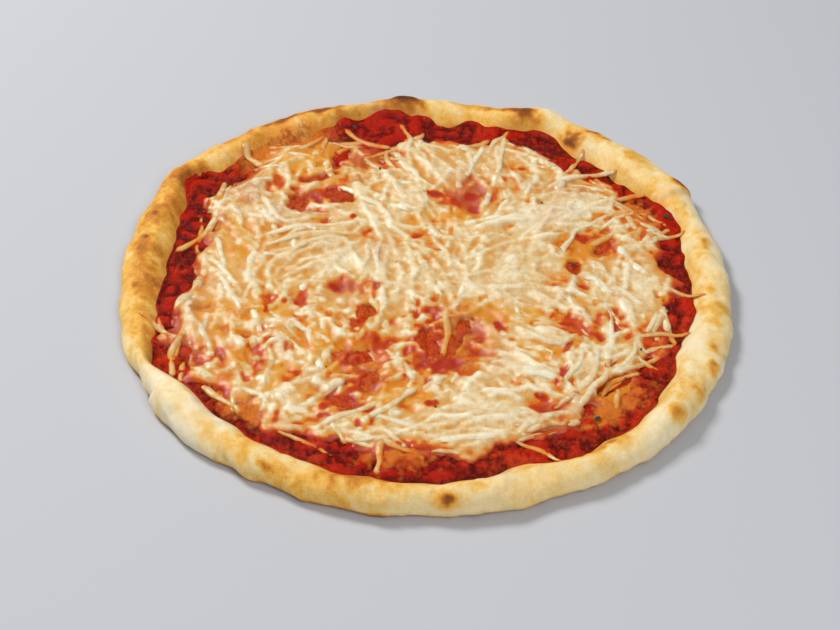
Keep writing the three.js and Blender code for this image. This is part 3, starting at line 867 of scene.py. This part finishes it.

# %% [markdown]
# Cooked tomato is deep red where it is thick and turns to orange where it is thin, oily or pale
# with pulp. It is wet, so it has small sharp highlights, and light goes a little way into it. The
# eye knows it by its dark red hollows beside bright scarlet lumps, under sparkles. Here the hollows
# get painted shade and the lumps painted light.


# %% Cooked tomato material
# Where oil stands on it: x, y, half length, half width, turn
OILY_POOLS = [
    (-8, -114, 12, 7, 8), (86, -80, 14, 5, 42), (-78, -90, 13, 5, -35), (104, 60, 12, 5, -50),
]


def sauce_tones(x, y, z):
    radius, direction = polar(x, y)
    # Inside the cheese, where it shows in the openings, fat has run into it, and it is painted
    # lighter against the shade of the openings.
    inner = ramp(108 - radius, 0, 12)
    # Lumps are painted lighter and hollows darker, as light and shade fall on them.
    raised = ramp(z, SAUCE_LEVEL + 0.1, SAUCE_LEVEL + 2.8) + 0.35 * inner
    pale = 0.5 * ramp(0.6 * cloud(x, y, 15, 61) + 0.5 * cloud(x, y, 5, 62), 0.1, 0.9)
    pale = uneven(pale, [(325, 65, 0.3), (215, 35, 0.3)], direction)
    # Towards the back left the sauce is thin and fried in oil.
    fried = toward(127, 20, direction) * ramp(radius, 104, 116)
    pools = 0.9 * patches(x, y, OILY_POOLS, 0.6, 0.9)
    oiled = np.maximum(pools, fried) + 0.15 * pale + 0.3 * inner
    # At the back it lies thickest, and is darkest.
    pale *= (0.4 + 0.6 * raised) * (1 - 0.6 * toward(70, 60, direction))
    return {"raised": raised, "pale": pale, "oiled": oiled}


cooked_tomato, tree, shader, place = new_material(
    "cooked tomato sauce",
    {
        "Roughness": 0.5,
        "IOR": 1.36,
        "Specular IOR Level": 0.03,
        "Subsurface Weight": 0.15,
        "Subsurface Radius": (1, 0.2, 0.06),
        "Subsurface Scale": 0.9 * MM,
        "Coat Weight": 0.28,
        "Coat Roughness": 0.07,
        "Coat IOR": 1.4,
    },
)
pulp = noise(tree, place, 2.4, 6, 0.7)
cells = add(
    tree, "ShaderNodeTexVoronoi", {"feature": "F1"}, {"Vector": place, "Scale": per_grain(1.6)}
).outputs["Distance"]
# Scarlet painted light on the lumps, pale flesh and orange oil, over the painted shade of dark red
# hollows
SAUCE_LAYERS = [
    ("raised", 1.1, 0.35, 1.25, "#B81A04", 0.95),
    ("pale", 1.1, 0.5, 1.25, "#D0461A", 0.7),
    ("oiled", 1.1, 0.6, 1.35, "#D8782A", 0.9),
]
colour = tint_over(tree, hex_colour("#4E0402"), pulp, SAUCE_LAYERS)
tree.links.new(colour, shader.inputs["Base Color"])
wet_pulp = scaled_sum(tree, cells, -0.5, pulp)
add_relief(tree, shader, ["Normal", "Coat Normal"], wet_pulp, 1.1, 1)
finish_piece("tomato_spread", sauce_shape, cooked_tomato, "tomato_sauce", sauce_tones)

# %% [markdown]
# ## The cheese
# Shredded mozzarella is strewn by the handful and melts for a few minutes only. Most strands sink
# into one another until only their backs show, 3 mm wide, and the last ones to fall stay crisp.
# They lie in swathes, as they fell. The cheese is therefore made in two pieces: a melted layer with
# the backs of all strands in its relief, and the crisp strands, laid one after another on it.

# %% How the strands lie
# Combed swathes: x, y, heading
SWATHES = [
    (-92, 92, 113), (-114, 28, 66), (-92, 44, 122), (-100, 12, 112), (-48, 32, 12), (-60, 14, 34),
    (-30, 12, 98), (-26, 62, 130), (-50, 105, 92), (8, 104, 95), (36, 100, 87), (56, 100, 130),
    (78, 96, 68), (84, 84, 22), (60, 46, 36), (96, 50, 38), (8, 20, 124), (30, 18, 34),
    (84, 10, 120), (106, -22, 92), (-92, -18, 118), (-112, -44, 94), (-74, -60, 104),
    (-15, -10, 115), (-12, -82, 42), (-52, -94, 15), (8, -38, 98), (60, -30, -8), (50, -68, -32),
    (70, -56, 73), (92, -68, 42), (34, -92, 8), (68, -12, 124),
]


def comb_heading(x, y):
    """The heading of the swathes round a place. A line has no front, so double turns are added."""
    total = 0
    for sx, sy, heading in SWATHES:
        weight = 1 / (math.hypot(x - sx, y - sy) + 4) ** 3
        turn = math.radians(2 * heading)
        total += weight * complex(math.cos(turn), math.sin(turn))
    return math.degrees(math.atan2(total.imag, total.real)) / 2


print("heading in the middle:", round(comb_heading(0, 0)))

# %% [markdown]
# A strand is a ball pulled long: ten rings of seven points, blunt at both ends. The prototype gives
# each of its points a place along the strand and a place round it, and those follow a path.

# %% Prototype strand
STRAND_SEGMENTS = 11
STRAND_SIDES = 7
ball = bmesh.new()
bmesh.ops.create_uvsphere(ball, u_segments=STRAND_SIDES, v_segments=STRAND_SEGMENTS, radius=1)
prototype = bpy.data.meshes.new("strand")
ball.to_mesh(prototype)
ball.free()
ball_points = np.array([vertex.co for vertex in prototype.vertices])
around = np.arctan2(ball_points[:, 1], ball_points[:, 0])
along = 1 - np.arccos(np.clip(ball_points[:, 2], -1, 1)) / np.pi
blunt = np.sqrt(np.clip(1 - np.abs(2 * along - 1) ** 8, 0, 1))
print("points in a strand:", len(ball_points))

# %% [markdown]
# Single strands that catch the eye are laid where they are seen: across the sauce, over the rim and
# in a loose bundle at the front right.

# %% Placed strands
# Start x and y, end x and y, sideways bow, half width
PLACED_STRANDS = [
    (-86, 84, -98, 100, 1, 2.1), (66, 84, 80, 110, -2, 1.3), (62, 76, 98, 91, 3, 1.8),
    (98, -35, 125, -30, 1, 1.3), (112, 1, 134, -7, 1, 1.2), (-104, 44, -123, 15, 3, 1.8),
    (-20, 104, -46, 122, 5, 1.7), (-12, 98, -17, 127, -3, 1.5), (-17, -106, -18, -127, 0, 1.7),
    (40, -103, 62, -118, 2, 1.2), (-112, -44, -112, -73, -3, 1.7), (-108, -6, -118, -27, 2, 2.6),
    (30, 104, 42, 124, 1, 1.4), (92, 66, 108, 52, 2, 1.3), (106, 59, 119, 48, 1, 1.2),
    (10, -23, 9, -52, 1, 1.7), (44, -33, 72, -37, -6, 2.6), (38, -60, 68, -73, 5, 1.7),
    (62, -70, 74, -43, -2, 1.5), (70, -72, 80, -43, -3, 2), (76, -72, 85, -50, -2, 1.8),
    (80, -74, 100, -58, 4, 1.5), (-79, -45, -76, -61, 1, 2), (-71, -48, -72, -77, 2, 1.6),
    (-24, 103, -18, 84, -1, 1.3), (38, 120, 34, 82, 1, 1.6), (46, 110, 62, 92, 2, 1.7),
    (-84, 27, -38, 40, 3, 1.6), (-78, 21, -34, 33, 4, 1.6), (-68, 12, -40, 28, 6, 1.5),
    (-29, 28, -31, 4, 1, 1.6), (-24, 26, -23, 2, -1, 1.5), (-20, 78, -12, 62, -1, 1.7),
    (-34, 60, -20, 46, 2, 2.2), (-84, 60, -70, 38, -2, 2), (-98, 50, -92, 34, 1, 1.6),
    (-107, 30, -98, 2, 2, 1.5), (-100, -2, -86, -30, 1, 1.6), (-106, -36, -98, -54, 1, 1.6),
    (-24, -95, -2, -72, -1, 1.8), (-45, -100, -18, -84, 1, 1.7), (84, 42, 104, 58, 1, 1.3),
    (2, 32, 12, 12, 1, 1.5), (80, 20, 89, 4, 1, 1.6), (62, -4, 75, -22, 1, 1.6),
    (-56, 112, -58, 97, 1, 1.4), (-52, 109, -36, 104, -2, 1.2), (44, -98, 60, -88, 2, 1.8),
    (20, -92, 46, -88, 2, 1.9),
]
print("placed strands:", len(PLACED_STRANDS))

# %% [markdown]
# ### The bed that the strands lie on
# Under the strands is cheese that has melted through, about 1.5 mm thick. It follows the sauce and
# the foot of the rim, and steam has lifted it in four domes. Its clots are small and sharp in the
# oily quarter and broad elsewhere.

# %% Shape the bed
# Domes: x, y, half length, half width, turn, rise
DOMES = [
    (58, -51, 17, 14, 20, 2),
    (103, 45, 14, 11, -60, 1.6),
    (-97, 61, 19, 12, 115, 1.6),
    (60, 48, 22, 14, 35, 1.1),
]
domes = sum(rise * map_patches([spot], 0.1, 0.9) for *spot, rise in DOMES)
curdy = 0.2 + 0.8 * oily_quarter
fine_clots = ramp(map_cloud(3.6, 72), 0, 0.6) + 0.3 * map_cloud(2, 77)
broad_clots = ramp(map_cloud(7.5, 71), 0, 0.8) * (1 - 0.5 * creamy)
clots = 1.2 * curdy * fine_clots + 0.7 * broad_clots + 0.7 * creamy
body = np.maximum(1.6 + 0.5 * map_cloud(15, 73) - 1.45 * thin, 0.2)
shoulder = np.sqrt(np.clip(inside_edge / 3.5, 0, 1)) * (1 - windows)
climbed = share_climbed(MAP_RADIUS, MAP_DIRECTION)
rim_map = np.where(climbed > 0, slope_height(climbed, MAP_DIRECTION) + 0.5, 0)
ground = np.maximum(blur(sauce_top(MAP_X, MAP_Y), 1), rim_map)
heaped = ground + shoulder * (body + domes + clots * (1 - 0.65 * thin))
# How pale the cheese is: soft clouds in the bed, and later the back of each strand.
paleness = 0.34 + 0.5 * map_cloud(11, 74) + 0.25 * creamy
paleness -= 0.35 * ramp(-MAP_X, 40, 90) + 0.25 * ramp(MAP_Y, 55, 105)
paleness += 0.5 * curdy * map_cloud(3.6, 72) + 0.2 * oily_quarter
print("mean height of the bed in mm:", heaped[cover > 0.5].mean().round(1))

# %% [markdown]
# ### Laying a strand
# A strand that falls on the heap bridges its dips, sinks in a little and makes the heap higher.
# Both happen here on the maps, strand after strand, as they did on the real pizza.


# %% Paths, and a strand laid along one
def strand_path(x0, y0, x1, y1, bow):
    """Points of a strand on the plan, evenly along it, with a slight ripple."""
    share = np.linspace(0, 1, STRAND_SEGMENTS + 1)[:, None]
    start = np.array([x0, y0], float)
    run = np.array([x1, y1]) - start
    side = np.array([-run[1], run[0]]) / np.linalg.norm(run)
    ripple = 0.5 * np.sin(9 * share + start[0])
    return start + share * run + (bow * np.sin(np.pi * share) + ripple) * side


def strewn_path(x, y, length, wander):
    """A path that follows the swathes from its middle to both ends."""
    halves = []
    for sign in (-1, 1):
        px, py, points = x, y, []
        for step in range(STRAND_SEGMENTS // 2 + 1):
            curl = 5 * math.sin(1.3 * step + wander) * step
            heading = math.radians(comb_heading(px, py) + wander + sign * curl)
            if step == 0:
                first = heading
            # A swathe has no front, so its heading may need half a turn to go on ahead.
            if math.cos(heading - first) < 0:
                heading += math.pi
            px += sign * length / STRAND_SEGMENTS * math.cos(heading)
            py += sign * length / STRAND_SEGMENTS * math.sin(heading)
            points.append((px, py))
        halves.append(points)
    return np.array(halves[0][::-1] + halves[1])


def lay(path, half_width, sink, pale):
    """Lay a strand on the heap, draw its back on the maps, and return its middle line in 3-D."""
    rise = 0.54 * half_width
    under = read(heaped, path[:, 0], path[:, 1])
    # It is stiff, so it hardly dips between the points that hold it up.
    for _ in range(2):
        padded = np.pad(under, 1, "edge")
        under = np.maximum(0.92 * under, (padded[:-2] + padded[1:-1] + padded[2:]) / 3)
    height = under + rise * (1 - 2 * sink)
    fine = np.linspace(0, len(path) - 1, 5 * len(path))
    line = [np.interp(fine, range(len(path)), part) for part in (path[:, 0], path[:, 1], height)]
    cells = math.ceil(half_width / MAP_STEP) + 1
    for x, y, z in zip(*line):
        i, j = round((x - LINE[0]) / MAP_STEP), round((y - LINE[0]) / MAP_STEP)
        near = np.s_[i - cells : i + cells + 1, j - cells : j + cells + 1]
        off = np.hypot(MAP_X[near] - x, MAP_Y[near] - y) / half_width
        back = z + rise * (2 * np.sqrt(np.clip(1 - off**2, 0, 1)) - 1)
        on_top = (off < 1) & (back > heaped[near])
        heaped[near] = np.where(on_top, back, heaped[near])
        crown = pale * (1 - off**2)
        paleness[near] = np.where(on_top, 0.6 * paleness[near] + 0.4 * crown, paleness[near])
    return np.column_stack([path, height])


print("points of a path:", len(strewn_path(0, 0, 20, 0)))

# %% [markdown]
# ### Strewing them
# Most strands are strewn by chance along the swathes, evenly over the pizza: each next one lies a
# golden angle further round. Few of them show where the cheese has melted to cream or curdled, and
# none where the sauce is bare. A fringe lies across the edge of the cheese, and the placed strands
# come last, on top.

# %% Lay all strands
STREWN_STRANDS = 800
STREWN_REACH = 117
GOLDEN_ANGLE = 137.508
FRINGE_STRANDS = 66
CRISP_SHARE = 0.17
BARE_LIMIT = 0.14
strand_chance = np.random.default_rng(1889)
strands = []
for number in range(STREWN_STRANDS):
    reach = STREWN_REACH * math.sqrt((number + 0.5) / STREWN_STRANDS)
    x, y = place_at(GOLDEN_ANGLE * number, reach)
    x, y = x + strand_chance.normal(0, 2), y + strand_chance.normal(0, 2)
    length = strand_chance.uniform(10, 34)
    path = strewn_path(x, y, length, strand_chance.normal(0, 27))
    half_width = strand_chance.uniform(1.2, 2.4)
    bare = read(kept_clear, path[:, 0], path[:, 1])
    melted_here = float(read(creamy, path[:, 0], path[:, 1]).mean())
    curdled_here = 0.55 * float(read(oily_quarter, x, y))
    if bare.mean() > BARE_LIMIT or strand_chance.random() < max(0.8 * melted_here, curdled_here):
        continue
    pale = strand_chance.uniform(0.1, 0.9)
    crisp = strand_chance.random() < CRISP_SHARE * (1 - melted_here) * (1 - curdled_here)
    sink = strand_chance.uniform(0.48, 0.62) if crisp else strand_chance.uniform(0.52, 0.7)
    middle = lay(path, half_width, sink, pale)
    if crisp:
        strands.append((middle, half_width, pale))
for number in range(FRINGE_STRANDS):
    direction = strand_chance.uniform(0, 360)
    reach = cheese_radius(direction) + strand_chance.uniform(-9, 2)
    x, y = place_at(direction, reach)
    lying = direction + 90 + strand_chance.normal(0, 34) - comb_heading(x, y)
    path = strewn_path(x, y, strand_chance.uniform(12, 28), lying)
    half_width = strand_chance.uniform(1.1, 1.8)
    pale = strand_chance.uniform(0.1, 0.6)
    strands.append((lay(path, half_width, 0.58, pale), half_width, pale))
for *ends, bow, half_width in PLACED_STRANDS:
    pale = strand_chance.uniform(0.1, 0.55)
    strands.append((lay(strand_path(*ends, bow), half_width, 0.45, pale), half_width, pale))
print("crisp strands:", len(strands), "highest point in mm:", heaped.max().round(1))

# %% [markdown]
# All strands go into one mesh. Across, a strand is twice as wide as it is high, because it has
# slumped.

# %% Join the strands
SLUMPED = 0.5
strand_shape = bmesh.new()
for _ in strands:
    strand_shape.from_mesh(prototype)
points = []
for middle, half_width, _ in strands:
    shares = np.linspace(0, 1, len(middle))
    centre = np.column_stack([np.interp(along, shares, part) for part in middle.T])
    slopes = np.gradient(middle[:, :2], axis=0)
    run = np.column_stack([np.interp(along, shares, part) for part in slopes.T])
    run /= np.linalg.norm(run, axis=1, keepdims=True)
    side = np.column_stack([-run[:, 1], run[:, 0]])
    uneven_width = half_width * (1 + 0.18 * np.sin(9 * along + 3 * half_width)) * blunt
    centre[:, :2] += side * (uneven_width * np.cos(around))[:, None]
    centre[:, 2] += SLUMPED * uneven_width * np.sin(around)
    points.append(centre)
for vertex, point in zip(strand_shape.verts, np.concatenate(points)):
    vertex.co = Vector(point) * MM
print("strand vertices:", len(strand_shape.verts))

# %% [markdown]
# The melted layer is the heap of strands seen through a soft cloth: it fills the gaps between them
# and follows their backs. Where the cheese is open, and in a short tail all round it, the layer
# dips under the sauce, so its torn edges are drawn by the sauce itself.

# %% Shape the melted layer
LAYER_SPACING = 0.75
LAYER_UNDERSIDE = 4.6
LAYER_DIP = 1.4
LAYER_TAIL = 3.4
soft_heap = 0.75 * blur(heaped, 0.6) + 0.25 * blur(heaped, 1.6)
# Above 0 on the backs of strands, below 0 in the gaps between them. It paints the backs paler and the
# gaps darker: painted shade, where sauce and oil also gather.
strand_backs_and_gap_shade = np.clip((soft_heap - blur(heaped, 2)) / 0.45, -1, 1)
melt_map = soft_heap * cover + (ground - LAYER_DIP) * (1 - cover)
soft_pale = blur(paleness, 0.5)


def melt_edge(direction):
    return cheese_radius(direction) + LAYER_TAIL


def melt_top(x, y):
    return np.maximum(read(melt_map, x, y), LAYER_UNDERSIDE + 0.1)


melt_shape = make_layer("melt", LAYER_SPACING, melt_edge, melt_top, LAYER_UNDERSIDE)

# %% [markdown]
# ### Melted mozzarella
# Fresh from the oven the cheese is cream coloured and a little see-through, so thin places take the
# red of the sauce. The gaps between strands are warmer than their backs, partly from sauce and oil
# that gather there and partly from painted shade. Fat that has run out of it lies as orange oil, and
# a few places have browned. The surface shines with that fat. The eye knows it by milky strands over
# warm orange gaps, and by the sparkle of the fat on both.

# %% Melted mozzarella material
VEIL_DEPTH = 1.15
melted_mozzarella, tree, shader, place = new_material(
    "melted mozzarella",
    {
        "Roughness": 0.5,
        "IOR": 1.42,
        "Specular IOR Level": 0.05,
        "Subsurface Weight": 0.25,
        "Subsurface Radius": (1, 0.6, 0.3),
        "Subsurface Scale": 1.8 * MM,
        "Coat Weight": 0.85,
        "Coat Roughness": 0.05,
        "Coat IOR": 1.45,
    },
)
curd = noise(tree, place, 3, 6, 0.65)
fine_curd = noise(tree, place, 1, 3, 0.6)
curdled = scaled_sum(tree, fine_curd, 0.15, scaled_sum(tree, curd, 0.45, -0.3))
# The veil is how much of the sauce shows through: none at 0, all of it at 1.
veiled = scaled_sum(tree, curdled, 1, read_mask(tree, "veil"))
VEIL_STOPS = [
    (0.0, "#F2E4C4"),
    (0.13, "#E4CA9A"),
    (0.28, "#D6A45E"),
    (0.42, "#DC8826"),
    (0.58, "#CC4E0A"),
    (1.0, "#AE2802"),
]
# Pinkish beige over the sauce, yellow oil, thick orange oil, and brown where it has caught
MOZZARELLA_LAYERS = [
    ("blushed", 2.6, 0.1, 1.2, "#C8905E", 0.35),
    ("oily", 2.6, 0.2, 0.95, "#E4A228", 0.7),
    ("oily", 2.6, 0.65, 1.35, "#D46408", 0.8),
    ("toasted", 2.6, 0.1, 1.0, "#BC6C1E", 0.7),
]
colour = tint_over(tree, tints_along(tree, veiled, VEIL_STOPS), curdled, MOZZARELLA_LAYERS)
tree.links.new(colour, shader.inputs["Base Color"])
grease = noise(tree, place, 1.2, 4, 0.6)
add_relief(tree, shader, ["Normal"], grease, 0.35, 0.6)
# The film of fat has beads and ripples of its own, which break the light into sparkles.
beads = noise(tree, place, 1.6, 3, 0.55)
add_relief(tree, shader, ["Coat Normal"], beads, 0.7, 0.75)


def mozzarella_tones(x, y, z, pale, clear, raised):
    """`pale` is how milky the cheese is, `clear` how freely the sauce shows through it, and
    `raised` paints the back of a strand paler and a gap darker, as light and shade fall on them."""
    depth = np.maximum(z - read(ground, x, y), 0)
    veil = clear * (np.exp(-depth / VEIL_DEPTH) + 0.3 * read(thin, x, y) ** 2)
    # The backs of strands are painted paler and the gaps darker, as painted light and shade.
    veil += 0.22 * (0.7 - pale) - 0.075 * raised
    veil = np.maximum(veil, 0.95 * clear * read(films, x, y))
    # Oil runs down, so less of it is on what stands high.
    low = np.exp(-depth / 3)
    return {
        "veil": veil,
        "oily": read(oily, x, y) * (0.4 + 0.6 * low),
        "toasted": read(toasted, x, y),
        "blushed": read(blushed, x, y),
    }


def melt_tones(x, y, z):
    return mozzarella_tones(x, y, z, read(soft_pale, x, y), 1, read(strand_backs_and_gap_shade, x, y))


def strand_tones(x, y, z):
    own = np.repeat([pale for _, _, pale in strands], len(ball_points))
    # The crisp strands all get the painted light of a strand's back.
    tones = mozzarella_tones(x, y, z, own, 0.4, 0.3)
    # They were the last to melt, so little oil has reached them.
    tones["oily"] *= 0.4
    return tones


finish_piece("melted_layer", melt_shape, melted_mozzarella, "melted_cheese", melt_tones)
finish_piece(
    "cheese_strands", strand_shape, melted_mozzarella, "melted_cheese", strand_tones
)

# %% [markdown]
# ## Dried herbs
# A pinch of dried basil and oregano is cooked into the sauce. The flakes are 1 to 4 mm long,
# crumpled, and nearly black where they are scorched. Each is a ball pressed to a small leaf, pulled
# long and folded up along its middle.

# %% Strew the herbs
# Flakes: x, y, length
HERB_FLAKES = [
    (78, -88, 3.4), (83, -95, 1.6), (120, 56, 4.2), (-41, 124, 2.6), (-11, -122, 2),
    (31, -117, 1.6), (-119, 64, 1.5), (71, 17, 2.6), (57, 62, 1.6), (92, -62, 1.4), (-26, 84, 2),
    (24, 113, 2.2), (-44, -62, 1.2), (100, -44, 1.8), (6, -86, 1.6),
]
herb_chance = np.random.default_rng(3)
herb_shape = bmesh.new()
for x, y, length in HERB_FLAKES:
    flake = bmesh.ops.create_icosphere(herb_shape, subdivisions=2, radius=1)["verts"]
    turn = herb_chance.uniform(0, math.pi)
    cheese_here = float(read(heaped, np.array(x), np.array(y)))
    lying_at = max(cheese_here, float(sauce_top(x, y))) + 0.2
    for vertex in flake:
        u, v, w = vertex.co
        long = 0.5 * length * u
        wide = 0.34 * length * v * (1 - 0.35 * u * u)
        crumple = 0.25 * math.sin(5 * u + x) * math.cos(4 * v + y)
        folded = 0.12 * length * abs(v)
        vertex.co.x = (x + long * math.cos(turn) - wide * math.sin(turn)) * MM
        vertex.co.y = (y + long * math.sin(turn) + wide * math.cos(turn)) * MM
        vertex.co.z = (lying_at + 0.25 * w + folded + crumple) * MM
dried_herb, tree, shader, place = new_material("dried herb", {"Roughness": 0.6})
leaf_tints = {0: noise(tree, place, 1.4, 3), 6: hex_colour("#1C150A"), 7: hex_colour("#46381A")}
leaf = add(tree, "ShaderNodeMix", {"data_type": "RGBA"}, leaf_tints).outputs[2]
tree.links.new(leaf, shader.inputs["Base Color"])
finish_piece("dried_herbs", herb_shape, dried_herb, "tomato_sauce", lambda x, y, z: {})

# %% [markdown]
# ## The finished size
# The finished pizza must be the size of the imported model and stay inside its box, so its size is
# printed here, to set against the imported model's size printed at the start.

# %% Print the finished size
visual_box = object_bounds()
sizes = [round((high - low) / MM, 1) for low, high in zip(*visual_box)]
print("visual size in mm:", sizes)
